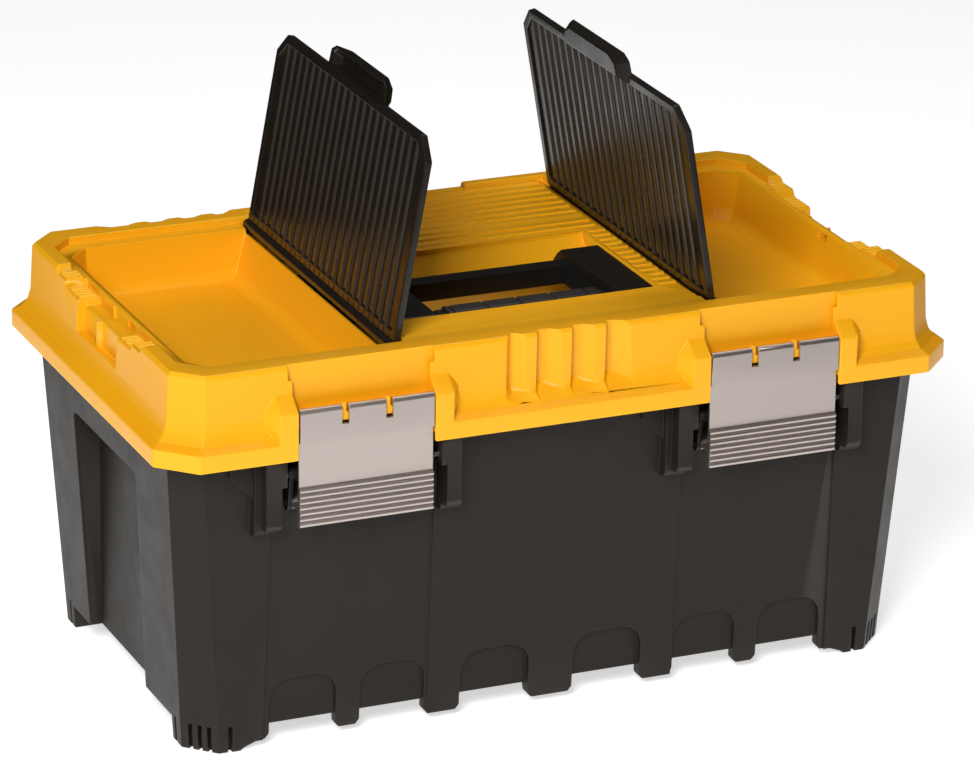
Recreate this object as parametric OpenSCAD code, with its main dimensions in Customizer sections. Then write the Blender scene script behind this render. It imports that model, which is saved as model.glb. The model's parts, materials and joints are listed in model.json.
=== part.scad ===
// Toolbox with a lift-out tray, two flip-top bins, a folding carry handle and two over-centre latches.
// Millimetres. X runs along the box, the front faces -Y and +Z is up. The feet stand on z = 0.
// It is drawn with the lid shut, the latches closed, the handle folded and both flip tops open.

/* [Node] */
// Sub-part to draw

/* [Overall] */
// Length over the lid skirt
overall_w = 560; // [480:10:640]
// Depth over the lid skirt
overall_d = 324; // [300:2:360]
// Height of the lid's top rim
lid_top = 268.5; // [250:0.5:300]

/* [Walls] */
// Wall of the moulded lid
lid_wall = 3; // [2.5:0.1:3.5]
// Wall of the tub
tub_wall = 4.5; // [4:0.1:5.5]

/* [Lid] */
// Height of the underside of the skirt
skirt_z = 208.5; // [204:0.5:212]
// Height of the skirt band
band_h = 12; // [8:1:14]
// Depth of the two top bins below the rim
bin_depth = 38.5; // [30:0.5:42]
// Distance of the flip tops' hinge from the middle
flip_hinge_x = 114; // [110:1:120]

/* [Motion] */
// Angle of the flip tops above shut, as drawn
flip_open = 100; // [90:1:108]

/* [Latches] */
// Distance of each latch from the middle
latch_x = 143.5; // [135:0.5:150]
// Width of a latch plate
latch_w = 91.5; // [80:0.5:92]
// Number of grip ribs on a latch plate
latch_ribs = 7; // [4:1:9]

/* [Handle] */
// Half width of the handle frame
handle_hx = 90.5; // [80:0.5:91]
// Reach of the grip from the pivot
handle_reach = 84; // [70:1:84]

/* [Tray] */
// Height of the tray's floor
tray_z = 150; // [140:1:160]
// Height of the tray's rim
tray_top = 205; // [195:1:208]

/* [Hidden] */
$fn = 48;
eps = 0.01;
yellow = "#F5B81F";
black = "#2E2A27";
smoke = "#2A211A";
silver = "#B9AFA6";
steel = "#8E8F91";

hx = overall_w / 2;
hy = overall_d / 2;
band_top = skirt_z + band_h;

// Top rim and the flip tops' seat
rim_hx = hx - 13;
rim_hy = hy - 11.8;
seat_z = lid_top - 5;
seat_hx = hx - 24;
seat_hy = rim_hy - 18;
plate_t = lid_wall;

// Centre deck and handle well
deck_z = lid_top - 4;
deck_hx = flip_hinge_x - 5;
well_hx = handle_hx + 1.5;
well_front = -handle_reach - 2;
well_back = 12;
well_floor = lid_top - 31;
scoop_back = 34;
pivot_z = lid_top - 12.5;

// Bins
bin_floor = lid_top - bin_depth;
bin_x0 = flip_hinge_x + 3.5;
bin_x1 = hx - 33;
bin_y0 = -122;
bin_y1 = 121.5;

// Latch zones in the lid's front
zone_hw = latch_w / 2 + 1;
zone_y = -rim_hy + 3.7;
ridge_z = skirt_z + 27.5;
ridge_y = -hy + 3.2;

// Latch mechanism, side view: axle A on the tub, pin B on the plate
axle_y = -149;
axle_z = 195;
pin_y = -145.3;
pin_z = 174;
axle_r = 2;
pin_fit = 0.05;
plate_front = -hy + 0.5;
plate_top = 242;
plate_bottom = 162;
arm_t = 3;
ear_gap = 53;
ear_w = 14;

// Tub
tub_top = skirt_z + 4;
tub_floor_z = 16;
tub_hx0 = hx - 28;
tub_hy0 = hy - 30.6;
tub_hx1 = hx - 14.6;
tub_hy1 = hy - 20;
flange_z = tub_top - 3.5;
arch_h = 46;
arch_depth = 3.2;
foot_cut = 19;
foot_x = 216;
foot_t = 9;
mid_foot_z = 5;
recess_depth = 15;
recess_top = 172;
recess_hy = 62;
panel_x0 = 88;
panel_x1 = 200;
panel_step = 2;

// Rear hinge
hinge_x = 150;
hinge_y = hy - 11.5;
hinge_z = skirt_z - 6.5;
hinge_r = 5.5;
hinge_pin_r = 2.5;

// Flip tops
flip_z = seat_z + 0.5;
flip_len = 137;
flip_hy = seat_hy - 2.4;
flip_t = 5;
flip_top_z = 4.8;
flip_edge = 6;
tab_rise = 6;
barrel_r = 3.5;
rod_r = 1.5;
tab_hy = 50;
rib_pitch = 11.2;
rib_w = 3.8;

// ---------- shared shapes ----------

// Eight-sided ring with cut corners, counter-clockwise from above
function ring(rx, ry, c, z) = [[-rx, -ry + c, z], [-rx + c, -ry, z], [rx - c, -ry, z],
    [rx, -ry + c, z], [rx, ry - c, z], [rx - c, ry, z], [-rx + c, ry, z], [-rx, ry - c, z]];

// Solid through rings of the same number of points, lowest ring first
module loft(rings) {
    n = len(rings[0]);
    last = (len(rings) - 1) * n;
    sides = [for (k = [0 : len(rings) - 2]) for (i = [0 : n - 1]) let (j = (i + 1) % n, b = k * n)
        each [[b + i, b + n + i, b + n + j], [b + i, b + n + j, b + j]]];
    polyhedron([for (r = rings) each r],
        concat([[for (i = [0 : n - 1]) i]], [[for (i = [n - 1 : -1 : 0]) last + i]], sides));
}

// Box between two corners
module box(a, b) {
    translate(a) cube(b - a);
}

// Cylinder along X between x0 and x1
module rod_x(x0, x1, y, z, r) {
    translate([x0, y, z]) rotate([0, 90, 0]) cylinder(r = r, h = x1 - x0);
}

// Cylinder along Y between y0 and y1
module rod_y(y0, y1, x, z, r) {
    translate([x, y0, z]) rotate([-90, 0, 0]) cylinder(r = r, h = y1 - y0);
}

// Side profile of [y, z] points run along X
module along_x(x0, x1, pts) {
    translate([x0, 0, 0]) rotate([90, 0, 90]) linear_extrude(x1 - x0) polygon(pts);
}

// Front profile of [x, z] points run along Y
module along_y(y0, y1, pts) {
    translate([0, y1, 0]) rotate([90, 0, 0]) linear_extrude(y1 - y0) polygon(pts);
}

module both_sides() {
    children();
    mirror([1, 0, 0]) children();
}

// ---------- tub ----------

module tub_outer() {
    loft([ring(tub_hx0, tub_hy0, foot_cut, 0), ring(tub_hx1, tub_hy1, foot_cut - 1, tub_top)]);
}

// The wall is thicker behind the foot arches
module tub_cavity() {
    w = tub_wall;
    arch_wall = 7.6;
    z0 = tub_floor_z + w;
    loft([ring(tub_hx0 - w + 0.5, tub_hy0 - arch_wall, 17, z0),
        ring(tub_hx0 - w + 2.5, tub_hy0 - arch_wall + 1.5, 17, arch_h + 6),
        ring(tub_hx0 - w + 3.5, tub_hy0 - w + 2.8, 17, arch_h + 16),
        ring(tub_hx1 - w, tub_hy1 - w, 16, tub_top + 1)]);
}

// Plan of an end recess: a square step at the back and a ramp at the front
module recess_plan(grow) {
    x = tub_hx0 - recess_depth + 8 - grow;
    polygon([[x, recess_hy + grow], [hx, recess_hy + 2 + grow], [hx, -recess_hy - 16 - grow],
        [x, -recess_hy + 24 - grow]]);
}

// Corner of a side profile rounded to radius r about [cy, cz], from angle a0 to a1
function arc(cy, cz, r, a0, a1, n = 6) = [for (i = [0 : n]) let (a = a0 + (a1 - a0) * i / n)
    [cy + r * cos(a), cz + r * sin(a)]];

module end_recess(grow, z0, z1) {
    rear_r = 7;
    front_r = 26;
    y0 = -recess_hy - 16 - grow;
    y1 = recess_hy + 2 + grow;
    intersection() {
        translate([0, 0, z0]) linear_extrude(z1 - z0) recess_plan(grow);
        along_x(tub_hx0 - 40, hx, concat([[y0, z0], [y1, z0]], arc(y1 - rear_r, z1 - rear_r, rear_r, 0, 90),
            arc(y0 + front_r, z1 - front_r, front_r, 90, 180)));
    }
}

// Arches between the feet along the front and the back, and the gap below the middle feet
module foot_arches() {
    arch_x = [16, 90, 152];
    arch_w = [49, 45, 46];
    shoulder = 15;
    for (i = [0 : 2], s = [-1, 1], m = [0, 1]) mirror([0, m, 0]) {
        x0 = s > 0 ? arch_x[i] : -arch_x[i] - arch_w[i];
        x1 = x0 + arch_w[i];
        along_y(-hy, -tub_hy0 + arch_depth, concat([[x0, -1], [x1, -1]],
            arc(x1 - shoulder, arch_h - shoulder, shoulder, 0, 90),
            arc(x0 + shoulder, arch_h - shoulder, shoulder, 90, 180)));
        along_y(-hy, -tub_hy0 + foot_t + 1, [[x0 - 2.5, -1], [x1 + 2.5, -1], [x1 + 2.5, mid_foot_z],
            [x1, mid_foot_z + 3], [x1, tub_floor_z - 1], [x0, tub_floor_z - 1], [x0, mid_foot_z + 3],
            [x0 - 2.5, mid_foot_z]]);
    }
    // gap below the middle feet, sloped up beside the corner feet
    for (m = [0, 1]) mirror([m, 0, 0]) along_y(-hy, hy, [[-eps, -1], [foot_x + 3, -1], [foot_x, 1.5],
        [foot_x - 9, mid_foot_z], [-eps, mid_foot_z]]);
}

// Side profile of a latch ear with a rounded lower end
function ear_side(front, bottom, r) = concat([[-139, skirt_z - 0.6], [-139, bottom]],
    arc(front + r, bottom + r, r, 270, 180), [[front, skirt_z - 0.6]]);

// Latch ears: each stands on a wider back plate and is relieved beside the link arm
module latch_ears() {
    relief = 3.6;
    half = ear_w / 2;
    for (s = [-1, 1]) translate([latch_x + s * (ear_gap + half), 0, 0]) mirror([s < 0 ? 1 : 0, 0, 0]) {
        along_x(-half + relief, half, ear_side(-158, 160, 5));
        along_x(-half, half, ear_side(-158, 189, 2));
        along_x(-half + relief, half + 4.5, ear_side(-148, 154, 5));
        // gusset from the back plate to the wall under the rim
        along_y(-144.5, -139, [[half, 176], [half + 20, 196], [half + 20, flange_z + 1],
            [half, flange_z + 1]]);
    }
}

module tub_hinge() {
    for (s = [-1, 1]) {
        x0 = hinge_x + (s > 0 ? 12 : -30);
        rod_x(x0, x0 + 18, hinge_y, hinge_z, hinge_r);
        box([x0, hy - 24, hinge_z - 3], [x0 + 18, hinge_y, hinge_z + 3]);
    }
}

// Grip slots round a corner foot
module foot_slots() {
    slot_w = 2.6;
    slot_d = 4;
    top = 18;
    step = foot_cut / 4;
    for (i = [1 : 3]) translate([tub_hx0 - step * i, -tub_hy0 + foot_cut - step * i, -1])
        rotate([0, 0, 45]) translate([-slot_w / 2, -3, 0]) cube([slot_w, slot_d + 3, top + 1]);
    box([foot_x + 8, -hy, -1], [foot_x + 8 + slot_w, -tub_hy0 + slot_d, top]);
    box([tub_hx0 - slot_d, -tub_hy0 + 27, -1], [hx, -tub_hy0 + 27 + slot_w, top]);
}

// The latch panels sit back from the corner pillars and the middle panel
module panel_cuts() {
    top = flange_z - 4;
    both_sides() for (m = [0, 1]) mirror([0, m, 0])
        loft([[[panel_x0, -hy, -1], [panel_x1 + 3, -hy, -1],
            [panel_x1 + 3, -tub_hy0 + panel_step, -1], [panel_x0, -tub_hy0 + panel_step, -1]],
            [[panel_x0, -hy, top], [panel_x1, -hy, top], [panel_x1, -tub_hy1 + panel_step, top],
            [panel_x0, -tub_hy1 + panel_step, top]]]);
}

// Rim flange under the lid's skirt, cut away behind the latches
module tub_flange() {
    difference() {
        loft([ring(hx - 6, hy - 6, 20, flange_z), ring(hx - 6, hy - 6, 20, tub_top)]);
        loft([ring(tub_hx1 - 2, tub_hy1 - 2, 17, flange_z - 1),
            ring(tub_hx1 - 2, tub_hy1 - 2, 17, tub_top + 1)]);
        both_sides() box([panel_x0, -hy, 0], [panel_x1, -tub_hy1 - 0.5, tub_top + 1]);
    }
}

module base_tub() color(black) difference() {
    union() {
        difference() {
            tub_outer();
            tub_cavity();
            panel_cuts();
            // open underside between the feet
            box([-foot_x, -tub_hy0 + foot_t, -1], [foot_x, tub_hy0 - foot_t, tub_floor_z]);
            box([-hx, -tub_hy0 + 35, -1], [hx, tub_hy0 - 35, tub_floor_z]);
        }
        intersection() {
            tub_outer();
            both_sides() end_recess(tub_wall, tub_floor_z, recess_top + tub_wall);
        }
        tub_flange();
        both_sides() latch_ears();
        both_sides() tub_hinge();
    }
    both_sides() end_recess(0, -1, recess_top);
    foot_arches();
    for (m = [0, 1]) mirror([0, m, 0]) both_sides() foot_slots();
    both_sides() rod_x(hinge_x - 40, hinge_x + 40, hinge_y, hinge_z, hinge_pin_r);
    both_sides() rod_x(latch_x - ear_gap - 9, latch_x + ear_gap + 9, axle_y, axle_z, axle_r);
}

module lid_hinge_pin() color(steel) {
    rod_x(hinge_x - 30, hinge_x + 30, hinge_y, hinge_z, hinge_pin_r);
}

module latch_axle() color(steel) {
    rod_x(latch_x - ear_gap - 9, latch_x + ear_gap + 9, axle_y, axle_z, axle_r);
}

// ---------- lid ----------

module lid_outer() {
    loft([ring(hx, hy, 23.3, skirt_z), ring(hx, hy, 23.3, band_top),
        ring(hx - 5.5, hy - 5.5, 21.5, band_top + 3), ring(hx - 9.5, hy - 9, 19.5, band_top + 8),
        ring(hx - 11.6, hy - 10.6, 18.3, band_top + 15.5),
        ring(rim_hx, rim_hy, 17.9, lid_top - 2.5), ring(rim_hx - 2, rim_hy - 2, 17, lid_top)]);
}

module lid_cavity() {
    w = lid_wall;
    loft([ring(hx - w, hy - w, 22.2, skirt_z - 1), ring(hx - w, hy - w, 22.2, band_top - 1.5),
        ring(hx - 8.5, hy - 8.5, 20, band_top + 1.5), ring(hx - 12.7, hy - 12, 18, band_top + 7),
        ring(hx - 14.6, hy - 13.6, 17, band_top + 15.5),
        ring(rim_hx - w, rim_hy - w, 16.6, lid_top - plate_t)]);
}

// Plan of a bin: its inner wall leans, so the floor starts further from the hinge
function bin_ring(g, lean, z) = [for (p = [[bin_x0 + lean - g, bin_y0 - g + lean / 2],
    [bin_x1 - 14 + g, bin_y0 - g + lean / 2], [bin_x1 + g - lean / 2, bin_y0 + 14 - g],
    [bin_x1 + g - lean / 2, bin_y1 - 14 + g], [bin_x1 - 14 + g, bin_y1 + g - lean / 2],
    [bin_x0 + lean - g, bin_y1 + g - lean / 2]]) [p[0], p[1], z]];

// Bin space with a rounded floor edge, or its outside when grown by the wall
module bin_shape(grow, z0, z1) {
    r = 8;
    loft(concat([for (a = [0, 30, 60]) bin_ring(grow - r * (1 - sin(a)), 9, z0 + r * (1 - cos(a)))],
        [bin_ring(grow, 8, z0 + r), bin_ring(grow, 0, z1)]));
}

// Seat of a flip top, cut to the corner shape of the rim
module seat_shape(grow, z0, z1) {
    c = 15;
    translate([0, 0, z0]) linear_extrude(z1 - z0)
        polygon([[flip_hinge_x - 5 - grow, -seat_hy - grow], [seat_hx - c + grow, -seat_hy - grow],
            [seat_hx + grow, -seat_hy + c - grow], [seat_hx + grow, seat_hy - c + grow],
            [seat_hx - c + grow, seat_hy + grow], [flip_hinge_x - 5 - grow, seat_hy + grow]]);
}

// Handle well with its scooped back
module well_shape(grow, z0, z1) {
    along_x(-well_hx - grow, well_hx + grow, [[well_front - grow, z0], [well_back + grow, z0],
        [scoop_back + grow, z1 - 4], [scoop_back + grow, z1], [well_front - grow, z1]]);
}

// Stepped finger notch in the middle of an end wall
module end_notch() {
    top = lid_top + 1;
    along_x(bin_x1 + 4.5, hx, [[-84, top], [-80, lid_top - 5], [-65, lid_top - 5],
        [-62, lid_top - 9.5], [-39, lid_top - 9.5], [-36, lid_top - 13.5], [36, lid_top - 13.5],
        [39, lid_top - 9.5], [62, lid_top - 9.5], [65, lid_top - 5], [80, lid_top - 5], [84, top]]);
}

// Beads that step down both sides of the notch, and a small rib in its middle
module notch_beads() {
    // each bead: distance from the middle, drop below the rim
    beads = [[67, 5], [72, 5], [77, 5], [42, 9.5], [47, 9.5], [52, 9.5], [57, 9.5]];
    for (b = beads, s = [-1, 1])
        rod_x(bin_x1 + 7, rim_hx - 1.6, s * b[0], lid_top - b[1] - 0.6, 2.1);
    box([bin_x1 + 4, 7.5, lid_top - 15], [bin_x1 + 6.3, 10, seat_z]);
}

// Lowered outer edge of the rear rim with its small bumps
module rear_rim_cut() {
    drop = lid_top - 3;
    bumps = [for (x = [137, 160.5, 184.5]) each
        [[x - 9, drop], [x - 4, drop + 1.7], [x + 4, drop + 1.7], [x + 9, drop]]];
    along_y(rim_hy - 8, hy, concat([[118, lid_top + 1], [124, drop]], bumps,
        [[203, drop], [215, lid_top - 0.5], [216, lid_top + 1]]));
}

// Thumb recess below the notch, outside the end wall
module thumb_recess() {
    difference() {
        box([hx - 18, -37, skirt_z + 29], [hx, 38, lid_top - 10]);
        box([hx - 20, 4, skirt_z + 29], [hx - 14, 6, lid_top - 9]);
    }
}

// Hook ridge, end teeth and guard ears of a latch zone
module latch_zone_solid() {
    along_x(latch_x - zone_hw + 1.2, latch_x + zone_hw - 1.2,
        [[zone_y + 1, ridge_z - 9], [ridge_y, ridge_z - 5], [ridge_y, ridge_z],
        [zone_y + 1, ridge_z]]);
    for (s = [-1, 1]) translate([latch_x + s * 15, 0, 0])
        along_x(-1.6, 1.6, [[ridge_y + 3.6, ridge_z - 1], [ridge_y, ridge_z - 1],
            [ridge_y, ridge_z + 6.5], [ridge_y + 3.6, ridge_z + 6.5]]);
}

// Guard ear beside a latch: upright towards it, with a curved flank on the far side
module guard_ear(x, dir) {
    w = 12.5;
    back = -rim_hy + 2;
    // each level: height, front face, flare of the flank
    levels = [[tub_top + 1.5, -hy, 2], [band_top + 1, -hy, 3], [band_top + 6, -hy, 7],
        [band_top + 13, -hy, 9.5], [band_top + 20, -hy, 8.5], [band_top + 24.5, -hy + 5.5, 6],
        [band_top + 29.5, -rim_hy - 0.3, 1]];
    translate([x, 0, 0]) mirror([dir < 0 ? 1 : 0, 0, 0])
        loft([for (e = levels) [[0, back, e[0]], [0, e[1], e[0]], [w, e[1], e[0]], [w + e[2], back, e[0]]]]);
}

// Plan of the finger scallops at height z: valley depth d, ridge depth r, ridge half width w
function scallop_ring(d, r, w, z) =
    let (y0 = -rim_hy - 1.2, ends = y0 + min(d, 0), ridge_x = [22.5, -1.5, -26])
    concat([[45, y0 - 16, z], [45, ends, z], [45 - 3 * w, y0 + d, z]],
        [for (c = ridge_x) each [[c + w + 2.5, y0 + d, z], [c + w, y0 + r, z], [c - w, y0 + r, z],
            [c - w - 7, y0 + d, z]]],
        [[-41 + w / 2, y0 + d, z], [-44, ends, z], [-44, y0 - 16, z]]);

// Finger scallops in the middle of the front wall, running out above the band
module front_scallops() {
    loft([scallop_ring(-11.9, -12.1, 0.8, band_top - 0.7), scallop_ring(-7.9, -8.1, 0.9, band_top + 1.7),
        scallop_ring(1.9, -0.9, 2.4, band_top + 8.5), scallop_ring(7, 1.5, 3.6, band_top + 12.5),
        scallop_ring(7, 1.5, 4, lid_top + 1)]);
}

// Raised ribs of the deck: long ones behind the well, short ones beside it
module deck_ribs() {
    for (i = [0 : 9]) box([-deck_hx + 4, 40.5 + 10.6 * i, deck_z - eps],
        [deck_hx - 4, 45.5 + 10.6 * i, deck_z + 1.2]);
    both_sides() for (i = [0 : 12]) box([well_hx + 2.5, -84 + 9.4 * i, deck_z - eps],
        [deck_hx - 2, -80 + 9.4 * i, deck_z + 1.2]);
    // shallow steps at the front, clear of the open flip tops
    for (i = [0 : 2]) box([-deck_hx + 2, -seat_hy - 1, deck_z - eps],
        [deck_hx - 2, -seat_hy + 11 + 10 * i, deck_z + 3.2 - 1.1 * i]);
}

module lid_hinge() {
    rod_x(hinge_x - 11.5, hinge_x + 11.5, hinge_y, hinge_z, hinge_r);
    box([hinge_x - 11.5, hinge_y, hinge_z - 3], [hinge_x + 11.5, hy - 0.8, hinge_z + 3]);
    box([hinge_x - 11.5, hy - 4.5, hinge_z - 3], [hinge_x + 11.5, hy - 0.8, skirt_z + 4]);
}

module lid_body() difference() {
    union() {
        difference() {
            lid_outer();
            lid_cavity();
        }
        intersection() {
            lid_outer();
            union() {
                both_sides() {
                    seat_shape(2.6, seat_z - plate_t, lid_top);
                    bin_shape(2.6, bin_floor - 2.6, seat_z);
                    box([bin_x1 + 2, -87, lid_top - 17], [hx, 87, lid_top]);
                    box([bin_x1 + 2, -40, skirt_z + 27], [hx, 41, lid_top]);
                    box([latch_x - zone_hw - 5, zone_y, skirt_z],
                        [latch_x + zone_hw + 5, zone_y + plate_t, lid_top]);
                    // thicker rear rim under its lowered outer edge
                    box([114, rim_hy - 11, lid_top - 6.5], [220, rim_hy, lid_top]);
                    // rod sockets at both ends of the flip hinge
                    for (s = [-1, 1]) box([flip_hinge_x - 8, s > 0 ? seat_hy : -seat_hy - 9, seat_z - 6],
                        [flip_hinge_x + 8, s > 0 ? seat_hy + 9 : -seat_hy, lid_top]);
                }
                box([-deck_hx - 4, -seat_hy - 4, deck_z - plate_t], [deck_hx + 4, rim_hy, lid_top]);
                well_shape(plate_t, well_floor - plate_t, deck_z);
                box([-48, -rim_hy, band_top + 1], [49, -rim_hy + 10, lid_top]);
            }
        }
        both_sides() {
            guard_ear(latch_x - zone_hw, -1);
            guard_ear(latch_x + zone_hw, 1);
        }
        both_sides() lid_hinge();
    }
    // flip seats, bins, deck and well
    both_sides() {
        seat_shape(0, seat_z, lid_top + 1);
        bin_shape(0, bin_floor, seat_z + eps);
        box([flip_hinge_x - 5, -seat_hy, seat_z - 4.5], [flip_hinge_x + 4.6, seat_hy, lid_top + 1]);
        rod_y(-seat_hy - 6, seat_hy + 6, flip_hinge_x, flip_z, rod_r);
        end_notch();
        thumb_recess();
        box([bin_x1 - 2, -28, lid_top - 12], [bin_x1 + 8, -15, lid_top - 7]);
        rear_rim_cut();
        box([latch_x - zone_hw, -hy - 1, skirt_z - 1], [latch_x + zone_hw, zone_y, lid_top + 1]);
        box([latch_x - zone_hw - 3.5, -hy - 1, band_top + 38],
            [latch_x + zone_hw + 3, zone_y, lid_top + 1]);
    }
    box([-deck_hx - 1, -seat_hy, deck_z], [deck_hx + 1, rim_hy - 9, lid_top + 1]);
    box([-52, rim_hy - 10, deck_z], [52, hy, lid_top + 1]);
    well_shape(0, well_floor, deck_z + 1);
    front_scallops();
    both_sides() rod_x(handle_hx - 2, well_hx + plate_t + 1, 0, pivot_z, 2.5);
    both_sides() rod_x(hinge_x - 12, hinge_x + 12, hinge_y, hinge_z, hinge_pin_r + pin_fit);
}

// The raised details are added after the cuts
module raised_details() {
    both_sides() {
        latch_zone_solid();
        notch_beads();
    }
    deck_ribs();
}

module lid_shell() color(yellow) {
    lid_body();
    raised_details();
}

module flip_rod() color(steel) {
    rod_y(-seat_hy - 6, seat_hy + 6, flip_hinge_x, flip_z, rod_r);
}

module handle_pin() color(steel) {
    rod_x(handle_hx - 12, well_hx + plate_t, 0, pivot_z, 2.5);
}

// ---------- flip tops ----------

// Outline of a flip top from x0 to the far edge, its two far corners cut
function flip_outline(x0, inset, c) = [[x0, -flip_hy + inset], [flip_len - c, -flip_hy + inset],
    [flip_len - inset, -flip_hy + c], [flip_len - inset, flip_hy - c], [flip_len - c, flip_hy - inset],
    [x0, flip_hy - inset]];

// Section of the finger tab: a plate raised above the flip top, or its hollow
module flip_tab(grow) {
    half = tab_hy + grow;
    root = flip_len - 9 - grow;
    tip = flip_len + 14.5 + grow;
    z0 = flip_top_z - 2.6 + grow;
    z1 = flip_top_z + tab_rise + grow;
    loft([[[root, -half - 4, z0], [tip - 3, -half + 2, z0], [tip, -half + 9, z0], [tip, half - 9, z0],
        [tip - 3, half - 2, z0], [root, half + 4, z0]],
        [[root + 8, -half + 6, z1], [tip - 4, -half + 8, z1], [tip - 1, -half + 13, z1],
        [tip - 1, half - 13, z1], [tip - 4, half - 8, z1], [root + 8, half - 6, z1]]]);
}

// Drawn shut along +X with the hinge at the origin, then turned open
module flip_shut() {
    web_t = 1.6;
    z1 = flip_top_z;
    c = 14;
    x0 = 3;
    difference() {
        union() {
            // web, frame and ribs
            translate([0, 0, z1 - 3.3]) linear_extrude(web_t) polygon(flip_outline(x0, 0, c));
            translate([0, 0, z1 - flip_t]) linear_extrude(flip_t) difference() {
                polygon(flip_outline(x0, 0, c));
                polygon(flip_outline(x0 + 7, flip_edge, c + 2));
            }
            for (i = [-10 : 10]) box([x0 + 6, rib_pitch * i - rib_w / 2, z1 - flip_t + 0.3],
                [flip_len - 3, rib_pitch * i + rib_w / 2, z1 - 0.3]);
            // barrel with its neck
            rod_y(-flip_hy, flip_hy, 0, 0, barrel_r);
            box([0, -flip_hy, z1 - 4.8], [x0 + 2, flip_hy, z1 - 1.5]);
            flip_tab(0);
        }
        rod_y(-flip_hy - 1, flip_hy + 1, 0, 0, rod_r + pin_fit);
        flip_tab(-2.2);
        // hollow of the tab runs out below
        box([flip_len - 4, -tab_hy + 8, z1 - flip_t - 1], [flip_len + 10, tab_hy - 8, z1]);
        // row of moulded marks beside the hinge
        for (i = [-14 : 14]) box([x0 + 1.6, i * 8.6 - 2.2, z1 - flip_t - 1],
            [x0 + 3.2, i * 8.6 + 2.2, z1 - flip_t + 0.8]);
    }
}

module flip_top() color(smoke)
    translate([flip_hinge_x, 0, flip_z]) rotate([0, -flip_open, 0]) flip_shut();

// ---------- carry handle ----------

module handle_frame() color(black) difference() {
    union() {
        both_sides() {
            // wedge-sided arm with a round pivot end
            intersection() {
                along_y(-handle_reach, 10, [[handle_hx, pivot_z - 9.5], [handle_hx, pivot_z + 8],
                    [64, pivot_z + 8], [55, pivot_z - 9.5]]);
                union() {
                    box([0, -handle_reach, pivot_z - 8], [hx, 0, pivot_z + 8]);
                    rod_x(0, hx, 0, pivot_z, 9.2);
                }
            }
        }
        box([-66, -20, pivot_z - 7], [66, -7, pivot_z + 5.5]);
        box([-60, -handle_reach + 2.5, pivot_z - 6], [60, -68, pivot_z + 5]);
    }
    both_sides() rod_x(handle_hx - 12, handle_hx + 1, 0, pivot_z, 2.5 + pin_fit);
}

// Grip sleeve with finger grooves, round the front bar
module handle_grip() color("#3A3633") difference() {
    along_x(-54, 54, [[-handle_reach + 0.5, pivot_z - 5], [-handle_reach + 4, pivot_z - 8.5],
        [-70, pivot_z - 8.5], [-66, pivot_z - 5], [-66, pivot_z + 4], [-69, pivot_z + 7.5],
        [-handle_reach + 3.5, pivot_z + 7.5], [-handle_reach + 0.5, pivot_z + 4]]);
    box([-60, -handle_reach + 2.5, pivot_z - 6], [60, -68, pivot_z + 5]);
    for (i = [-2 : 2]) box([24 * i - 3.2, -handle_reach - 1, pivot_z + 6.3],
        [24 * i - 1.6, -60, pivot_z + 9]);
}

// ---------- latches ----------

// Two end arms on a tube that turns on the tub's axle
module latch_link() color(black) difference() {
    arm_x = latch_w / 2 + 0.8;
    translate([latch_x, 0, 0]) union() {
        rod_x(-arm_x - arm_t, arm_x + arm_t, axle_y, axle_z, 4.4);
        for (s = [-1, 1]) {
            x0 = s > 0 ? arm_x : -arm_x - arm_t;
            rod_x(x0, x0 + arm_t, pin_y, pin_z, 4.2);
            along_x(x0, x0 + arm_t, [[pin_y - 4, pin_z], [axle_y - 4, axle_z], [axle_y + 4, axle_z],
                [pin_y + 4, pin_z]]);
        }
    }
    rod_x(latch_x - 60, latch_x + 60, axle_y, axle_z, axle_r + pin_fit);
    rod_x(latch_x - 60, latch_x + 60, pin_y, pin_z, axle_r);
}

module latch_pin() color(steel) {
    reach = latch_w / 2 + 0.8 + arm_t;
    rod_x(latch_x - reach, latch_x + reach, pin_y, pin_z, axle_r);
}

// Extruded plate: hook bead, upper flange, plain panel, ribbed grip and rear barrel
module latch_plate() color(silver) translate([latch_x, 0, 0]) difference() {
    w = latch_w / 2;
    grip_top = 189;
    rib_r = (grip_top - plate_bottom) / latch_ribs / 2;
    union() {
        along_x(-w, w, [[plate_front, 219], [plate_front, plate_top - 3], [plate_front + 2.2, plate_top - 3],
            [plate_front + 2.2, 219]]);
        along_x(-w, w, [[plate_front + 2.2, 221], [plate_front + 4.4, 219], [plate_front + 4.4, plate_bottom],
            [plate_front + 2.2, plate_bottom], [plate_front + 2.2, 219]]);
        rod_x(-w, w, plate_front + 3, plate_top - 3, 3);
        for (i = [0 : latch_ribs - 1])
            rod_x(-w, w, plate_front + rib_r, plate_bottom + rib_r * (2 * i + 1), rib_r);
        rod_x(-w, w, pin_y, pin_z, 4);
        box([-w, plate_front + 3, pin_z - 1.5], [w, pin_y, pin_z + 1.5]);
    }
    rod_x(-w - 1, w + 1, pin_y, pin_z, axle_r + pin_fit);
    for (s = [-1, 1]) box([s * 15 - 2.4, -hy - 1, 229.5], [s * 15 + 2.4, -hy + 12, plate_top + 1]);
}

// ---------- tray ----------

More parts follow.
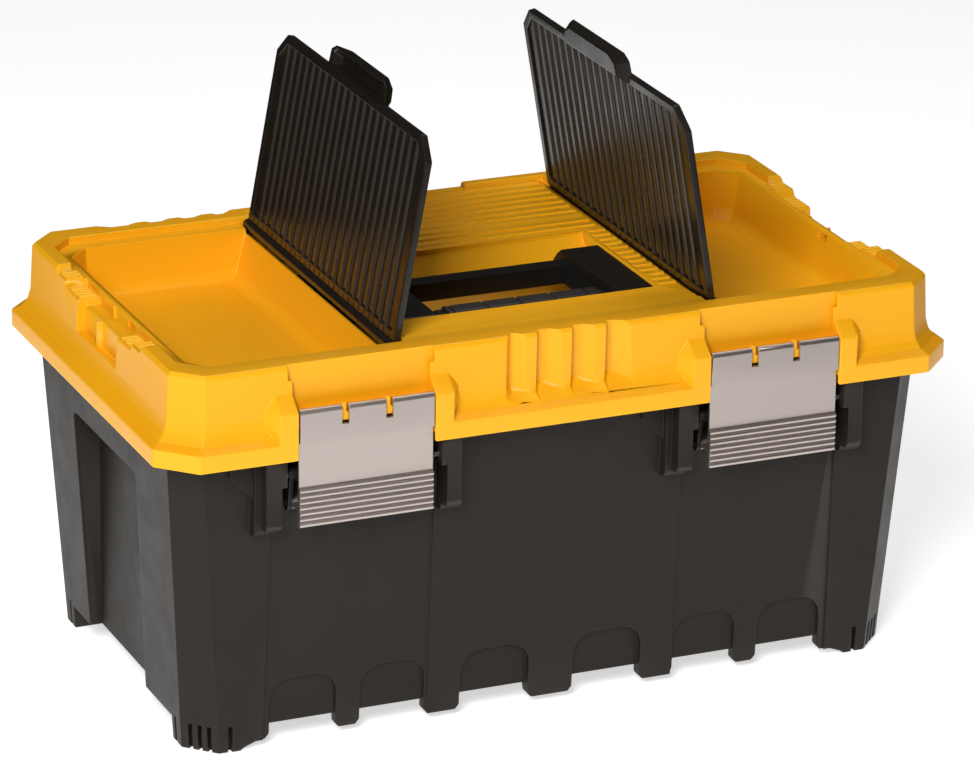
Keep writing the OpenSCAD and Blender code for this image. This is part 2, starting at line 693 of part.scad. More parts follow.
module lift_out_tray() color("#3B3835") {
    tx = 236;
    ty = 124;
    t = 2.4;
    difference() {
        loft([ring(tx - 4, ty - 4, 8, tray_z), ring(tx, ty, 10, tray_top)]);
        // three bays, the middle one split by the grip's posts
        for (b = [[-tx + t, -80], [-80 + t, 80 - t], [80, tx - t]])
            loft([[[b[0] + 6, -ty + t + 6, tray_z + t], [b[1] - 3, -ty + t + 6, tray_z + t],
                [b[1] - 3, ty - t - 6, tray_z + t], [b[0] + 6, ty - t - 6, tray_z + t]],
                [[b[0] + 3, -ty + t, tray_top + 1], [b[1], -ty + t, tray_top + 1],
                [b[1], ty - t, tray_top + 1], [b[0] + 3, ty - t, tray_top + 1]]]);
    }
    // lugs that hang on the end shelves
    both_sides() box([tx - 6, -40, recess_top + tub_wall + 0.5], [254, 40, recess_top + tub_wall + 4.5]);
}

// Carrying bar across the middle bay, clipped over both dividers
module tray_grip() color("#3B3835") {
    box([-84, -12, tray_top + 0.4], [84, 12, tray_top + 5]);
    both_sides() difference() {
        box([73, -12, tray_top - 14], [84, 12, tray_top + 1]);
        box([76.6, -13, tray_top - 15], [80.6, 13, tray_top + 0.4]);
    }
}

// ---------- draw ----------

base_tub();
mirror([1, 0, 0]) lid_hinge_pin();  // lid_hinge_pin_left
lid_hinge_pin();  // lid_hinge_pin_right
mirror([1, 0, 0]) latch_axle();  // latch_axle_left
latch_axle();  // latch_axle_right
lid_shell();
mirror([1, 0, 0]) flip_rod();  // flip_rod_left
flip_rod();  // flip_rod_right
mirror([1, 0, 0]) handle_pin();  // handle_pin_left
handle_pin();  // handle_pin_right
mirror([1, 0, 0]) flip_top();  // flip_top_left
flip_top();  // flip_top_right
handle_frame();
handle_grip();
mirror([1, 0, 0]) latch_link();  // latch_link_left
latch_link();  // latch_link_right
mirror([1, 0, 0]) latch_pin();  // latch_pin_left
latch_pin();  // latch_pin_right
mirror([1, 0, 0]) latch_plate();  // latch_plate_left
latch_plate();  // latch_plate_right
lift_out_tray();
tray_grip();
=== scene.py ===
# %% [markdown]
# A long plastic toolbox: a tapered near-black tub, a yellow lid with two bins under smoked flip tops, a
# folding carry handle, two extruded aluminium latches, and a lift-out tray inside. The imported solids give
# every size and every joint. This lesson builds the finished looks around them: soft moulded edges, fine
# ribs and real finishes.
#
# First the frame is loaded: the solids as plain meshes, one empty for each moving body, and the record.

# %% Load the frame
import json
import math

import bmesh
import bpy
import numpy as np
from mathutils import Matrix, Vector
from mathutils.bvhtree import BVHTree

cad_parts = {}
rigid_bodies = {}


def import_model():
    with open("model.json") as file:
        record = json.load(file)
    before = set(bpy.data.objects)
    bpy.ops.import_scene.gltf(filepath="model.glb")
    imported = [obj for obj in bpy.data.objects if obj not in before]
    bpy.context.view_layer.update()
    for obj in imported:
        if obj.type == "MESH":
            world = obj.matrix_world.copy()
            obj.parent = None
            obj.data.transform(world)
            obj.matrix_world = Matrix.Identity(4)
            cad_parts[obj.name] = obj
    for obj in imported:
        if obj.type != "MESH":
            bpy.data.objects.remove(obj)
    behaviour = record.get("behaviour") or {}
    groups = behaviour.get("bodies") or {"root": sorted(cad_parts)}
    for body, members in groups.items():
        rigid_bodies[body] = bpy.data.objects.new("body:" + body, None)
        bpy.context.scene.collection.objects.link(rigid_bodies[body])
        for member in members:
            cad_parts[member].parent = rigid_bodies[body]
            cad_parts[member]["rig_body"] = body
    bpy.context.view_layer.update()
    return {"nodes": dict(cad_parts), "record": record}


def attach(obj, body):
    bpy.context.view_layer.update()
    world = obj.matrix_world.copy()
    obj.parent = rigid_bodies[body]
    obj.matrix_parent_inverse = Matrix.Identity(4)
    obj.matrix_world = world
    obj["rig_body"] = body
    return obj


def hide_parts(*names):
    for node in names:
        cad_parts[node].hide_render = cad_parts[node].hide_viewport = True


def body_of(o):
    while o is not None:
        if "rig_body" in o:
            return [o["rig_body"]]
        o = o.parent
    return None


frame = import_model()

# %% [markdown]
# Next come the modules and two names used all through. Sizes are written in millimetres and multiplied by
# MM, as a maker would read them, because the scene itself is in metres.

MM = 0.001
nodes = frame["nodes"]

# %% [markdown]
# Tools for finishes. Every material is a small tree on the Principled shader: a cloudy tint, a grain that
# lifts the surface, a patchy roughness and paler worn edges. Object coordinates drive the patterns, so
# they stick to a piece when it moves. An image could do this too, but a noise pattern has no seams and no
# resolution.

# %% Material tools
def new_material(name, **values):
    """A Principled material, with the numbers that are the same all over set on the shader's own sockets."""
    mat = bpy.data.materials.new(name)
    mat.use_nodes = True
    shader = mat.node_tree.nodes["Principled BSDF"]
    for socket, value in values.items():
        shader.inputs[socket.replace("_", " ")].default_value = value
    return mat, mat.node_tree, shader


def noise(tree, scale, detail=3.0, stretch=(1, 1, 1), rough=0.5):
    """A cloudy 0..1 pattern fixed to the piece, longer along an axis where its stretch is small."""
    coord = tree.nodes.new("ShaderNodeTexCoord")
    mapping = tree.nodes.new("ShaderNodeMapping")
    mapping.inputs["Scale"].default_value = stretch
    tex = tree.nodes.new("ShaderNodeTexNoise")
    tex.inputs["Scale"].default_value = scale
    tex.inputs["Detail"].default_value = detail
    tex.inputs["Roughness"].default_value = rough
    tree.links.new(coord.outputs["Object"], mapping.inputs["Vector"])
    tree.links.new(mapping.outputs["Vector"], tex.inputs["Vector"])
    return tex.outputs["Fac"]


def spread(tree, value, low, high, at=(0.3, 0.7)):
    """Map a 0..1 pattern to a range of numbers."""
    node = tree.nodes.new("ShaderNodeMapRange")
    node.inputs["From Min"].default_value, node.inputs["From Max"].default_value = at
    node.inputs["To Min"].default_value, node.inputs["To Max"].default_value = low, high
    tree.links.new(value, node.inputs["Value"])
    return node.outputs["Result"]


def blend_colour(tree, factor, dark, light):
    """Mix two colours, or colour sockets, by a 0..1 pattern."""
    mix = tree.nodes.new("ShaderNodeMix")
    mix.data_type = "RGBA"
    tree.links.new(factor, mix.inputs["Factor"])
    for socket, colour in ((mix.inputs[6], dark), (mix.inputs[7], light)):
        if hasattr(colour, "links"):
            tree.links.new(colour, socket)
        else:
            socket.default_value = (*colour, 1)
    return mix.outputs[2]


def bumps(tree, shader, *layers):
    """Stack bump layers: each is (height pattern, strength, distance in metres)."""
    last = None
    for height, strength, distance in layers:
        bump = tree.nodes.new("ShaderNodeBump")
        bump.inputs["Strength"].default_value = strength
        bump.inputs["Distance"].default_value = distance
        tree.links.new(height, bump.inputs["Height"])
        if last:
            tree.links.new(last, bump.inputs["Normal"])
        last = bump.outputs["Normal"]
    tree.links.new(last, shader.inputs["Normal"])


def edge_mask(tree, low=0.52, high=0.62):
    """Bright on convex edges, from the mesh's own pointiness."""
    geometry = tree.nodes.new("ShaderNodeNewGeometry")
    return spread(tree, geometry.outputs["Pointiness"], 0.0, 1.0, at=(low, high))


def moulded_plastic(name, dark, light, worn, rough, grain, grain_depth, **values):
    """Injection-moulded plastic: cloudy tint, fine spark grain, flow waviness and paler worn edges."""
    mat, tree, shader = new_material(name, **values)
    body = blend_colour(tree, noise(tree, 9, 4), dark, light)
    edge = edge_mask(tree)
    colour = blend_colour(tree, edge, body, worn)
    tree.links.new(colour, shader.inputs["Base Color"])
    patchy = spread(tree, noise(tree, 34, 6, rough=0.65), rough - 0.05, rough + 0.06)
    tree.links.new(patchy, shader.inputs["Roughness"])
    bumps(tree, shader, (noise(tree, grain, 2), 0.35, grain_depth), (noise(tree, 14, 2), 0.2, 0.0004))
    return mat


# %% [markdown]
# The plastics. The lid is a deep orange-yellow with a satin skin, the tub a warm near-black with a
# coarser spark grain, the tray slightly greyer, the handle smoother and darker, and its grip softer. Worn
# edges go paler.

# %% Plastics
YELLOW = moulded_plastic("yellow_moulded", (0.93, 0.415, 0.006), (0.96, 0.45, 0.009), (1.0, 0.51, 0.018),
                         0.36, 1900, 0.00004, Specular_IOR_Level=0.28)
BODY_BLACK = moulded_plastic("black_moulded", (0.0150, 0.0112, 0.0078), (0.0195, 0.0148, 0.0106),
                             (0.040, 0.033, 0.027), 0.46, 1500, 0.00006, Specular_IOR_Level=0.22)
TRAY_BLACK = moulded_plastic("tray_black", (0.024, 0.021, 0.019), (0.032, 0.028, 0.025), (0.06, 0.052, 0.047),
                             0.5, 1300, 0.00008)
HANDLE_BLACK = moulded_plastic("handle_black", (0.006, 0.0055, 0.0045), (0.010, 0.009, 0.008),
                               (0.03, 0.027, 0.024), 0.34, 1700, 0.00005, Specular_IOR_Level=0.4)
GRIP = moulded_plastic("soft_grip", (0.022, 0.020, 0.018), (0.03, 0.027, 0.025), (0.06, 0.055, 0.05),
                       0.34, 1100, 0.00006)
print("plastics", len(bpy.data.materials))

# %% [markdown]
# The metals. An extruded latch plate keeps fine draw lines along its length, and the anodising scatters
# light into a broad sheen. The noise is squeezed to long streaks along the profile, and it drives colour,
# roughness and bump.

# %% Metals
def metal(name, dark, light, rough, streak):
    """Drawn or anodised metal: fine lines along the run of the profile, with a cloudy sheen."""
    mat, tree, shader = new_material(name, Metallic=1.0)
    lines = noise(tree, 260, 5, stretch=streak, rough=0.7)
    colour = blend_colour(tree, lines, dark, light)
    tree.links.new(colour, shader.inputs["Base Color"])
    tree.links.new(spread(tree, lines, rough - 0.06, rough + 0.08), shader.inputs["Roughness"])
    bumps(tree, shader, (lines, 0.12, 0.00004))
    return mat


ALUMINIUM = metal("anodised_aluminium", (0.56, 0.49, 0.45), (0.64, 0.565, 0.525), 0.42, (0.04, 6, 6))
STEEL = metal("drawn_steel", (0.42, 0.41, 0.40), (0.6, 0.59, 0.58), 0.28, (0.05, 4, 4))
print("metals", ALUMINIUM.name, STEEL.name)

# %% [markdown]
# The flip tops are smoked plastic: nearly opaque, so a dark tinted body with a clear glossy skin reads
# the same as real tinted plastic and renders without noise. The ribs get a paler copy of the same colour:
# a painted highlight that stands in for the light gathering in their crests.

# %% Smoked plastic
def smoked(name, dark, light):
    mat, tree, shader = new_material(name, Specular_IOR_Level=0.55, IOR=1.5, Alpha=0.975)
    colour = blend_colour(tree, noise(tree, 7, 3), dark, light)
    tree.links.new(colour, shader.inputs["Base Color"])
    tree.links.new(spread(tree, noise(tree, 50, 4), 0.24, 0.33), shader.inputs["Roughness"])
    bumps(tree, shader, (noise(tree, 300, 2), 0.08, 0.00003))
    return mat


SMOKE = smoked("smoked_sheet", (0.0095, 0.0075, 0.0052), (0.015, 0.012, 0.0085))
# The paler rib colour is a painted highlight, not a different plastic.
SMOKE_RIB_PAINTED_HIGHLIGHT = smoked("smoked_rib_painted_highlight", (0.026, 0.0215, 0.0165), (0.036, 0.030, 0.0235))
print("materials", len(bpy.data.materials))

# %% [markdown]
# Moulded parts have no knife edges: the steel of the mould is cut with a small radius, so each edge
# catches a thin line of light. Each solid is copied, its double corners are merged, and a bevel rounds
# the crisp edges. A bevel of one width would fold over on thin ribs, so every edge gets a weight from the
# room on its two faces. Then the copy is compared with the solid: wherever a rounding folded or ran off
# the surface, that edge goes back to crisp.

# %% Soft-edged copies of the solids
def flat_patches(bm, tolerance=math.radians(0.8)):
    """Group triangles that lie in one plane. Gives each face's patch breadth: about the width of a strip."""
    patch_of, breadths = {}, []
    for seed in bm.faces:
        if seed in patch_of:
            continue
        patch_of[seed] = len(breadths)
        queue, area, outline = [seed], 0.0, 0.0
        while queue:
            face = queue.pop()
            area += face.calc_area()
            for edge in face.edges:
                if len(edge.link_faces) != 2 or edge.calc_face_angle(0.0) > tolerance:
                    outline += edge.calc_length()
                    continue
                for other in edge.link_faces:
                    if other not in patch_of:
                        patch_of[other] = patch_of[seed]
                        queue.append(other)
        breadths.append(2 * area / outline if outline else 0.0)
    return {face: breadths[patch] for face, patch in patch_of.items()}


MERGE = 0.02 * MM  # corners closer than this are one corner
NEEDLE = 0.05 * MM  # a triangle thinner than this is taken out
FLAT = 0.7  # how far inside the solid a rounded face may lie, as a share of the rounding


def trouble_spots(piece, surface, width):
    """Places where a rounded edge has folded over or run off the surface of the solid it came from."""
    shape = piece.evaluated_get(bpy.context.evaluated_depsgraph_get())
    mesh = shape.to_mesh()
    spots = []
    for face in mesh.polygons:
        _, normal, _, gap = surface.find_nearest(face.center)
        folded = normal.dot(face.normal) < -0.1 and face.area > 1e-9
        if folded or gap > FLAT * width:
            spots.append((face.center[:], 1.5 * width + gap))
    for vert in mesh.vertices:
        gap = surface.find_nearest(vert.co)[3]
        if gap > 0.9 * width:
            spots.append((vert.co[:], 1.5 * width + 1.2 * gap))
    shape.to_mesh_clear()
    return spots


def keep_crisp(mesh, spots):
    """Take the rounding off every edge that passes within reach of one of the spots."""
    weights = mesh.attributes["bevel_weight_edge"].data
    co = np.zeros(len(mesh.vertices) * 3)
    mesh.vertices.foreach_get("co", co)
    pairs = np.zeros(len(mesh.edges) * 2, int)
    mesh.edges.foreach_get("vertices", pairs)
    a, b = co.reshape(-1, 3)[pairs[0::2]], co.reshape(-1, 3)[pairs[1::2]]
    run = b - a
    length2 = np.maximum((run ** 2).sum(1), 1e-18)
    near = np.zeros(len(a), bool)
    for spot, distance in spots:
        along = np.clip(((spot - a) * run).sum(1) / length2, 0, 1)
        near |= ((a + run * along[:, None] - spot) ** 2).sum(1) < distance ** 2
    for index in np.flatnonzero(near):
        weights[int(index)].value = 0.0
    mesh.update_tag()


def softened(node, width, material, segments=2, angle=18):
    """A merged copy of a solid, on its body, with each crisp edge rounded as far as its faces allow."""
    source = nodes[node]
    mesh = bpy.data.meshes.new(node + "_soft")
    bm = bmesh.new()
    bm.from_mesh(source.data)
    bmesh.ops.remove_doubles(bm, verts=bm.verts, dist=MERGE)
    bmesh.ops.dissolve_degenerate(bm, edges=bm.edges, dist=NEEDLE)
    weight = bm.edges.layers.float.new("bevel_weight_edge")
    fold = bm.edges.layers.bool.new("crisp")
    breadth = flat_patches(bm)
    crisp = [edge for edge in bm.edges
             if len(edge.link_faces) == 2 and edge.calc_face_angle(0.0) >= math.radians(angle)]
    reach = {}
    for edge in crisp:
        for vert in edge.verts:
            reach[vert] = min(reach.get(vert, 1.0), edge.calc_length())
    rounded = 0
    for edge in crisp:
        edge[fold] = True
        room = min(min(breadth[face] for face in edge.link_faces) / 2.4,
                   min(reach[vert] for vert in edge.verts) / 1.6) / width
        if room > 0.12 and edge.calc_face_angle() < math.radians(150):
            edge[weight] = min(1.0, room)
            rounded += 1
    for face in bm.faces:
        face.smooth = True
    bm.to_mesh(mesh)
    surface = BVHTree.FromBMesh(bm)
    bm.free()
    for name in ("custom_normal", "sharp_edge", "sharp_face"):
        if name in mesh.attributes:
            mesh.attributes.remove(mesh.attributes[name])
    piece = bpy.data.objects.new(node + "_soft", mesh)
    bpy.context.scene.collection.objects.link(piece)
    bevel = piece.modifiers.new("edges", "BEVEL")
    bevel.width = width
    bevel.segments = segments
    bevel.limit_method = "WEIGHT"
    bevel.use_clamp_overlap = False
    for attempt in range(5):
        spots = trouble_spots(piece, surface, width)
        if not spots:
            break
        keep_crisp(mesh, [(spot, reach * (1 + 0.5 * attempt)) for spot, reach in spots])
    weights = mesh.attributes["bevel_weight_edge"].data
    sharp = [crisp.value and not weights[i].value for i, crisp in enumerate(mesh.attributes["crisp"].data)]
    mesh.attributes.new("sharp_edge", "BOOLEAN", "EDGE").data.foreach_set("value", sharp)
    piece.modifiers.new("normals", "WEIGHTED_NORMAL").keep_sharp = True
    mesh.materials.clear()
    mesh.materials.append(material)
    body = body_of(source)[0]
    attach(piece, body)
    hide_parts(node)
    print(node, len(mesh.polygons), "faces,", rounded, "edges rounded,", len(spots), "spots left, on", body)
    return piece


# %% [markdown]
# The solids with soft edges. The radius follows the part: about a millimetre on the big mouldings, half
# of that on the tray and grip, and a third on the thin extruded latch plates.

# %% Lid, tub, tray, handle and latches
softened("lid_shell", 0.9 * MM, YELLOW)
softened("base_tub", 0.9 * MM, BODY_BLACK)
softened("lift_out_tray", 0.6 * MM, TRAY_BLACK)
softened("tray_grip", 0.6 * MM, TRAY_BLACK)
softened("handle_frame", 1.0 * MM, HANDLE_BLACK)
softened("handle_grip", 0.5 * MM, GRIP)
for side in ("left", "right"):
    softened("latch_plate_" + side, 0.3 * MM, ALUMINIUM)
    softened("latch_link_" + side, 0.4 * MM, HANDLE_BLACK)

# %% [markdown]
# Rows of ribs. The same small rule draws every row on the flip tops: one rib is a line swept with an oval
# section, a straight line of points gives the places, and the rib is set on each point. It could be cut
# by hand as 21 separate bars, but a rule keeps the pitch exact, and the pitch, width and ends stay easy
# to change.

# %% A rule for rows of ribs
def rib_row_rule():
    tree = bpy.data.node_groups.new("rib_row", "GeometryNodeTree")
    face = tree.interface
    face.new_socket("Geometry", in_out="INPUT", socket_type="NodeSocketGeometry")
    inputs = {"Count": "Int", "Pitch": "Float", "From": "Vector", "To": "Vector", "Section": "Vector",
              "Material": "Material"}
    for label, kind in inputs.items():
        face.new_socket(label, in_out="INPUT", socket_type="NodeSocket" + kind)
    face.new_socket("Geometry", in_out="OUTPUT", socket_type="NodeSocketGeometry")
    new, link = tree.nodes.new, tree.links.new
    given, made = new("NodeGroupInput"), new("NodeGroupOutput")
    run = new("GeometryNodeCurvePrimitiveLine")
    link(given.outputs["From"], run.inputs["Start"])
    link(given.outputs["To"], run.inputs["End"])
    upright = new("GeometryNodeSetCurveNormal")
    upright.mode = "Z_UP"
    link(run.outputs["Curve"], upright.inputs["Curve"])
    oval = new("GeometryNodeCurvePrimitiveCircle")
    oval.inputs["Resolution"].default_value = 14
    oval.inputs["Radius"].default_value = 1.0
    size = new("GeometryNodeTransform")
    link(oval.outputs["Curve"], size.inputs["Geometry"])
    link(given.outputs["Section"], size.inputs["Scale"])
    sweep = new("GeometryNodeCurveToMesh")
    sweep.inputs["Fill Caps"].default_value = True
    link(upright.outputs["Curve"], sweep.inputs["Curve"])
    link(size.outputs["Geometry"], sweep.inputs["Profile Curve"])
    step, first, middle = new("ShaderNodeCombineXYZ"), new("ShaderNodeCombineXYZ"), new("ShaderNodeMath")
    middle.operation = "MULTIPLY_ADD"
    link(given.outputs["Count"], middle.inputs[0])
    middle.inputs[1].default_value = -0.5
    middle.inputs[2].default_value = 0.5
    back = new("ShaderNodeMath")
    back.operation = "MULTIPLY"
    link(middle.outputs[0], back.inputs[0])
    link(given.outputs["Pitch"], back.inputs[1])
    link(given.outputs["Pitch"], step.inputs["Y"])
    link(back.outputs[0], first.inputs["Y"])
    places = new("GeometryNodeMeshLine")
    link(given.outputs["Count"], places.inputs["Count"])
    link(first.outputs["Vector"], places.inputs["Start Location"])
    link(step.outputs["Vector"], places.inputs["Offset"])
    put = new("GeometryNodeInstanceOnPoints")
    link(places.outputs["Mesh"], put.inputs["Points"])
    link(sweep.outputs["Mesh"], put.inputs["Instance"])
    real, paint = new("GeometryNodeRealizeInstances"), new("GeometryNodeSetMaterial")
    link(put.outputs["Instances"], real.inputs["Geometry"])
    link(real.outputs["Geometry"], paint.inputs["Geometry"])
    link(given.outputs["Material"], paint.inputs["Material"])
    link(paint.outputs["Geometry"], made.inputs["Geometry"])
    return tree


RIB_ROW = rib_row_rule()


def rib_row(count, pitch, start, end, half_width, half_height, material):
    """Run the rule once and hand back a plain mesh, with the ribs in the shut frame of a flip top."""
    carrier = bpy.data.objects.new("row", bpy.data.meshes.new("row"))
    bpy.context.scene.collection.objects.link(carrier)
    rule = carrier.modifiers.new("rule", "NODES")
    rule.node_group = RIB_ROW
    values = {"Count": count, "Pitch": pitch, "From": start, "To": end,
              "Section": (half_width, half_height, 1.0), "Material": material}
    for item in RIB_ROW.interface.items_tree:
        if item.in_out == "INPUT" and item.name in values:
            rule[item.identifier] = values[item.name]
    depsgraph = bpy.context.evaluated_depsgraph_get()
    mesh = bpy.data.meshes.new_from_object(carrier.evaluated_get(depsgraph))
    bpy.data.objects.remove(carrier)
    return mesh


print("rule sockets", [item.name for item in RIB_ROW.interface.items_tree])

# %% [markdown]
# The flip tops. Each is a thin smoked sheet inside a thicker frame, with ribs from the hinge to the far
# edge, a round hinge barrel, a row of moulded marks beside it and a hollow raised finger tab. It is drawn
# lying shut, where every part is square to the axes, and then turned about its own hinge to the open rest
# pose, just as the real one moves.

# %% Flip tops
SHEET_TOP, SHEET_BOTTOM = 1.7 * MM, 3.3 * MM  # depth of the thin sheet below the frame's top
NECK = 3 * MM  # distance of the frame from the hinge
BAR = 6 * MM  # width of a frame bar
CUT = 14 * MM  # cut of the two far corners
TAB_WALL = 2.2 * MM
RIBS, RIB_PITCH = 21, 11.2 * MM
MARKS, MARK_PITCH = 29, 8.6 * MM


def add_ring(bm, points, z):
    """Corners of an outline at one height."""
    return [bm.verts.new((x, y, z)) for x, y in points]


def bridge(bm, low, high):
    """Close the band between two rings of the same number of corners."""
    for i in range(len(low)):
        j = (i + 1) % len(low)
        bm.faces.new((low[i], low[j], high[j], high[i]))


def slab(bm, points, z0, z1):
    """A flat plate with a straight edge all round."""
    low, high = add_ring(bm, points, z0), add_ring(bm, points, z1)
    bridge(bm, low, high)
    bm.faces.new(high)
    bm.faces.new(low[::-1])


def frame_bars(bm, outer, inner, z0, z1):
    """Bars between an outer and an inner outline."""
    rings = [add_ring(bm, outline, z) for outline, z in ((outer, z0), (outer, z1), (inner, z1), (inner, z0))]
    for k in range(4):
        bridge(bm, rings[k], rings[(k + 1) % 4])


def flip_frame(joint):
    """Turn from a flip top's shut frame (hinge along Y at 0, panel towards +X) to its rest pose."""
    pivot = Vector(joint["pos_m"])
    mirror = Matrix.Diagonal((-1 if pivot.x < 0 else 1, 1, 1, 1))
    turn = Matrix.Rotation(-math.radians(joint["range_deg"][1]), 4, "Y")
    return mirror @ Matrix.Translation((abs(pivot.x), pivot.y, pivot.z)) @ turn


def finish_mesh(bm, name):
    mesh = bpy.data.meshes.new(name)
    bm.to_mesh(mesh)
    bm.free()
    return mesh


def place(mesh, transform, name, material, body, slot):
    """Turn a shut mesh to its rest pose and make it a piece that rides on the body."""
    mesh.transform(transform)
    bm = bmesh.new()
    bm.from_mesh(mesh)
    bmesh.ops.recalc_face_normals(bm, faces=bm.faces)
    for face in bm.faces:
        face.smooth = True
    bm.to_mesh(mesh)
    bm.free()
    mesh.materials.clear()
    mesh.materials.append(material)
    piece = bpy.data.objects.new(name, mesh)
    bpy.context.scene.collection.objects.link(piece)
    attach(piece, body)
    return piece


def round_edges(piece, width, segments=2):
    """A small radius on each crisp edge, as a mould leaves it."""
    bevel = piece.modifiers.new("edges", "BEVEL")
    bevel.width, bevel.segments = width, segments
    bevel.limit_method, bevel.angle_limit = "ANGLE", math.radians(35)
    piece.modifiers.new("normals", "WEIGHTED_NORMAL").keep_sharp = False


def measure_flip_top(side, transform):
    """Read the leading sizes off the solid, in its shut frame."""
    shut = [transform.inverted() @ v.co for v in nodes["flip_top_" + side].data.vertices]
    wings = [p for p in shut if abs(p.y) > 70 * MM and p.x > 20 * MM]
    tip = max(p.x for p in wings)
    return {"half": max(p.y for p in shut), "tip": tip, "low": min(p.z for p in wings),
            "top": max(p.z for p in wings), "tab_tip": max(p.x for p in shut),
            "tab_top": max(p.z for p in shut), "barrel": max(-p.x for p in shut),
            "tab_half": max(abs(p.y) for p in shut if p.x > tip + 2 * MM)}


def panel_mesh(size, name):
    """Frame, thin sheet, neck and round hinge barrel."""
    half, tip, top = size["half"], size["tip"], size["top"]

    def outline(x0, inset, cut):
        return [(x0, inset - half), (tip - cut, inset - half), (tip - inset, cut - half),
                (tip - inset, half - cut), (tip - cut, half - inset), (x0, half - inset)]

    bm = bmesh.new()
    frame_bars(bm, outline(NECK, 0, CUT), outline(NECK + BAR, BAR, CUT + 2.5 * MM), size["low"], top)
    slab(bm, outline(NECK + 2 * MM, 2 * MM, CUT + 0.5 * MM), top - SHEET_BOTTOM, top - SHEET_TOP)
    neck_end = NECK + 2 * MM
    slab(bm, [(0, -half), (neck_end, -half), (neck_end, half), (0, half)], 0.2 * MM, top - 1.5 * MM)
    bmesh.ops.create_cone(bm, cap_ends=True, segments=28, radius1=size["barrel"], radius2=size["barrel"],
                          depth=2 * half, matrix=Matrix.Rotation(math.pi / 2, 4, "X"))
    return finish_mesh(bm, name)


def tab_mesh(size, name):
    """Raised finger tab: a tapered cap outside, and the same taper a wall's thickness in as its hollow."""
    tip, top, tab_tip, tab_half = size["tip"], size["top"], size["tab_tip"], size["tab_half"]
    rim = top - 2.4 * MM

    def tab_ring(x0, x1, cut, y, flare, z):
        return add_ring(bm, [(x0, flare - y), (x1 - cut, -y), (x1, cut * 1.8 - y), (x1, y - cut * 1.8),
                             (x1 - cut, y), (x0, y - flare)], z)

    bm = bmesh.new()
    root = tip - 8 * MM
    crown_tip, crown_half = tab_tip - MM, tab_half - 8 * MM
    rings = [tab_ring(tip + 0.5 * MM, tab_tip - TAB_WALL, 3 * MM, tab_half - TAB_WALL - 2 * MM, 0, rim),
             tab_ring(root, tab_tip, 4 * MM, tab_half, -2 * MM, rim),
             tab_ring(root + 8 * MM, crown_tip, 5 * MM, crown_half, -MM, size["tab_top"])]
    hollow = tab_ring(root + 8 * MM + TAB_WALL, crown_tip - TAB_WALL, 4 * MM, crown_half - TAB_WALL, 0,
                      size["tab_top"] - TAB_WALL)
    bridge(bm, hollow, rings[0])
    bridge(bm, rings[0], rings[1])
    bridge(bm, rings[1], rings[2])
    bm.faces.new(rings[2])
    bm.faces.new(hollow[::-1])
    return finish_mesh(bm, name)


def make_flip_top(side):
    joint = {j["name"]: j for j in frame["record"]["behaviour"]["joints"]}["flip_" + side + "_hinge"]
    transform = flip_frame(joint)
    size = measure_flip_top(side, transform)
    print(side, "flip top", {name: round(value / MM, 1) for name, value in size.items()})
    body = "flip_" + side
    panel = place(panel_mesh(size, "panel"), transform, "flip_panel_" + side, SMOKE, body, "smoke")
    round_edges(panel, 0.7 * MM)
    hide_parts("flip_top_" + side)
    tab = place(tab_mesh(size, "tab"), transform, "flip_tab_" + side, SMOKE, body, "smoke")
    round_edges(tab, 0.9 * MM, 3)

    middle = size["top"] - (SHEET_TOP + SHEET_BOTTOM) / 2
    # The ribs take the paler smoked colour, a painted highlight on their crests.
    ribs = rib_row(RIBS, RIB_PITCH, (NECK + 5 * MM, 0, middle), (size["tip"] - 5 * MM, 0, middle),
                   1.7 * MM, 2.35 * MM, SMOKE_RIB_PAINTED_HIGHLIGHT)
    place(ribs, transform, "flip_ribs_" + side, SMOKE_RIB_PAINTED_HIGHLIGHT, body, "smoke")
    marks = rib_row(MARKS, MARK_PITCH, (NECK + 1.2 * MM, 0, size["low"]), (NECK + 4.2 * MM, 0, size["low"]),
                    1.2 * MM, 0.35 * MM, SMOKE)
    place(marks, transform, "flip_marks_" + side, SMOKE, body, "smoke")
    print("  ribs", len(ribs.polygons), "marks", len(marks.polygons), "faces")


for side in ("left", "right"):
    make_flip_top(side)

# %% [markdown]
# The pins, axles and rods are turned steel and already have their real shape, so the solids themselves
# stay, with a drawn-steel finish in place of the plain one.

# %% Finishes of the carried-over pins
for name, node in nodes.items():
    if "pin" in name or "axle" in name or "rod" in name:
        node.data.materials.clear()
        node.data.materials.append(STEEL)

# %% [markdown]
# The floor is a sheet of pale paper that runs out of sight. It glows a little, so it stays white right up
# to the soft shadow of the box. Only the near disc shows in reflections, since a sheet that ends would
# mirror its edge.

# %% Floor
def make_floor(name, inner, outer, mirrored):
    """A ring of pale paper; the far part isn't seen in reflections, as a sheet that ends would not be."""
    bm = bmesh.new()
    steps = 96
    rings = [[bm.verts.new((r * math.cos(a), r * math.sin(a), -0.0004)) for a in
              [math.tau * i / steps for i in range(steps)]] for r in (inner, outer) if r]
    if inner:
        for i in range(steps):
            j = (i + 1) % steps
            bm.faces.new((rings[0][i], rings[1][i], rings[1][j], rings[0][j]))
    else:
        bm.faces.new(rings[0])
    mesh = bpy.data.meshes.new(name)
    bm.to_mesh(mesh)
    bm.free()
    floor = bpy.data.objects.new(name, mesh)
    bpy.context.scene.collection.objects.link(floor)
    mesh.materials.append(PAPER)
    floor.visible_glossy = mirrored


PAPER, paper_tree, paper_shader = new_material("floor_paper", Roughness=0.9, Emission_Strength=0.62)
paper_shader.inputs["Emission Color"].default_value = (1, 1, 1, 1)
paper_tone = blend_colour(paper_tree, noise(paper_tree, 3, 2), (0.92, 0.92, 0.92), (0.95, 0.95, 0.95))
paper_tree.links.new(paper_tone, paper_shader.inputs["Base Color"])
MIRRORED_REACH, FLOOR_REACH = 0.95, 14.0
make_floor("floor_near", 0, MIRRORED_REACH, True)
make_floor("floor_far", MIRRORED_REACH, FLOOR_REACH, False)

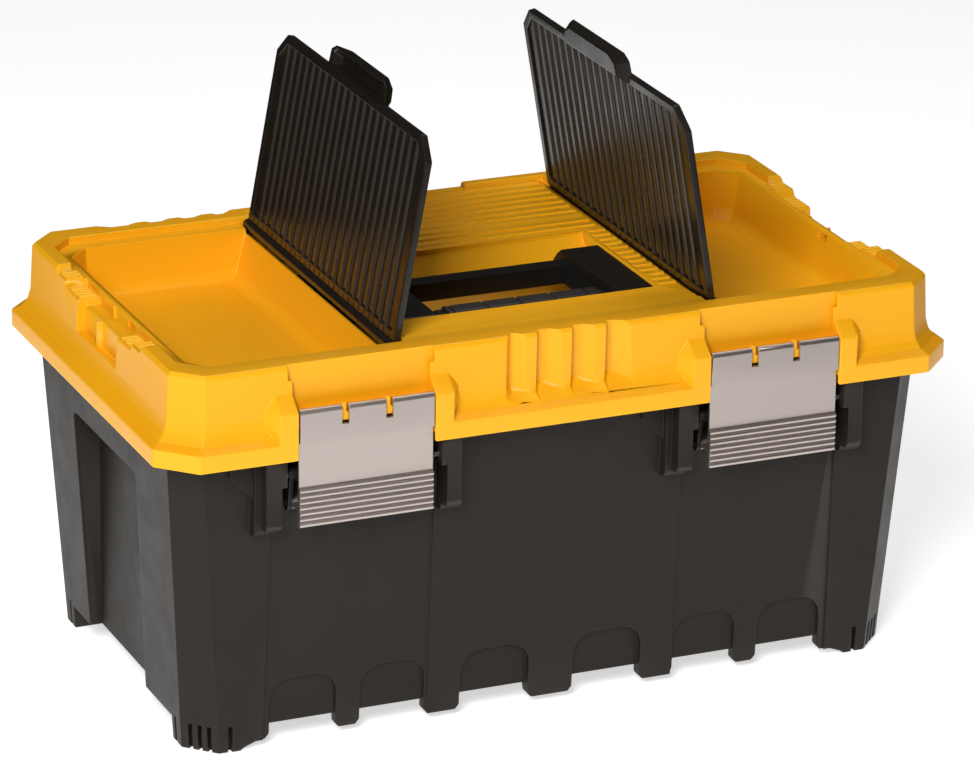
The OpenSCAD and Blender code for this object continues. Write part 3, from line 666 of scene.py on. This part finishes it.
# %% [markdown]
# Soft studio light: one large softbox high on the front left, which makes the long soft shadow to the
# right, and a weak one above. The world is white to the eye, dimmer as a light source, and darker low
# down where gloss would otherwise wash out the black plastic. The view transform is the plain one, so
# white paper comes out white.

# %% Studio light
def softbox(name, place, aim, size, watts):
    light = bpy.data.lights.new(name, "AREA")
    light.shape = "RECTANGLE"
    light.size, light.size_y = size
    light.energy = watts
    lamp = bpy.data.objects.new(name, light)
    bpy.context.scene.collection.objects.link(lamp)
    lamp.location = place
    lamp.rotation_euler = (Vector(aim) - Vector(place)).to_track_quat("-Z", "Y").to_euler()
    return lamp


softbox("key", (-1.5, -2.0, 1.9), (0, 0, 0.15), (1.1, 1.1), 75)
softbox("top", (0.5, 0.6, 2.4), (0, 0, 0.2), (1.6, 1.2), 14)

scene = bpy.context.scene
world = bpy.data.worlds.new("studio")
scene.world = world
world.use_nodes = True
sky = world.node_tree
background = sky.nodes["Background"]
direction = sky.nodes.new("ShaderNodeTexCoord")
split = sky.nodes.new("ShaderNodeSeparateXYZ")
sky.links.new(direction.outputs["Generated"], split.inputs["Vector"])
path = sky.nodes.new("ShaderNodeLightPath")
seen_in_gloss = spread(sky, split.outputs["Z"], 0.10, 0.75, at=(-0.1, 0.9))
diffuse_level = spread(sky, split.outputs["Z"], 0.40, 0.55, at=(-0.2, 0.8))


def choose(tree, test, when_false, when_true):
    """Pick one of two levels by a 0 or 1 test."""
    node = tree.nodes.new("ShaderNodeMix")
    tree.links.new(test, node.inputs["Factor"])
    for socket, value in ((node.inputs[2], when_false), (node.inputs[3], when_true)):
        if hasattr(value, "links"):
            tree.links.new(value, socket)
        else:
            socket.default_value = value
    return node.outputs[0]


level = choose(sky, path.outputs["Is Glossy Ray"], diffuse_level, seen_in_gloss)
level = choose(sky, path.outputs["Is Camera Ray"], level, 1.0)
sky.links.new(level, background.inputs["Strength"])
scene.view_settings.view_transform = "Standard"
scene.view_settings.look = "None"

# %% [markdown]
# The camera looks from the front left and a little above with a long lens, which keeps the edges of the
# box nearly parallel, as in a shop picture.

# %% Camera
camera_data = bpy.data.cameras.new("view")
camera = bpy.data.objects.new("view", camera_data)
scene.collection.objects.link(camera)
camera.location = (-1.31724, -3.03119, 1.42523)
camera.rotation_euler = [math.radians(a) for a in (69.3196, -0.8920, -23.2904)]
camera_data.lens = 194.43
camera_data.sensor_width = 36
camera_data.clip_end = 50
scene.camera = camera
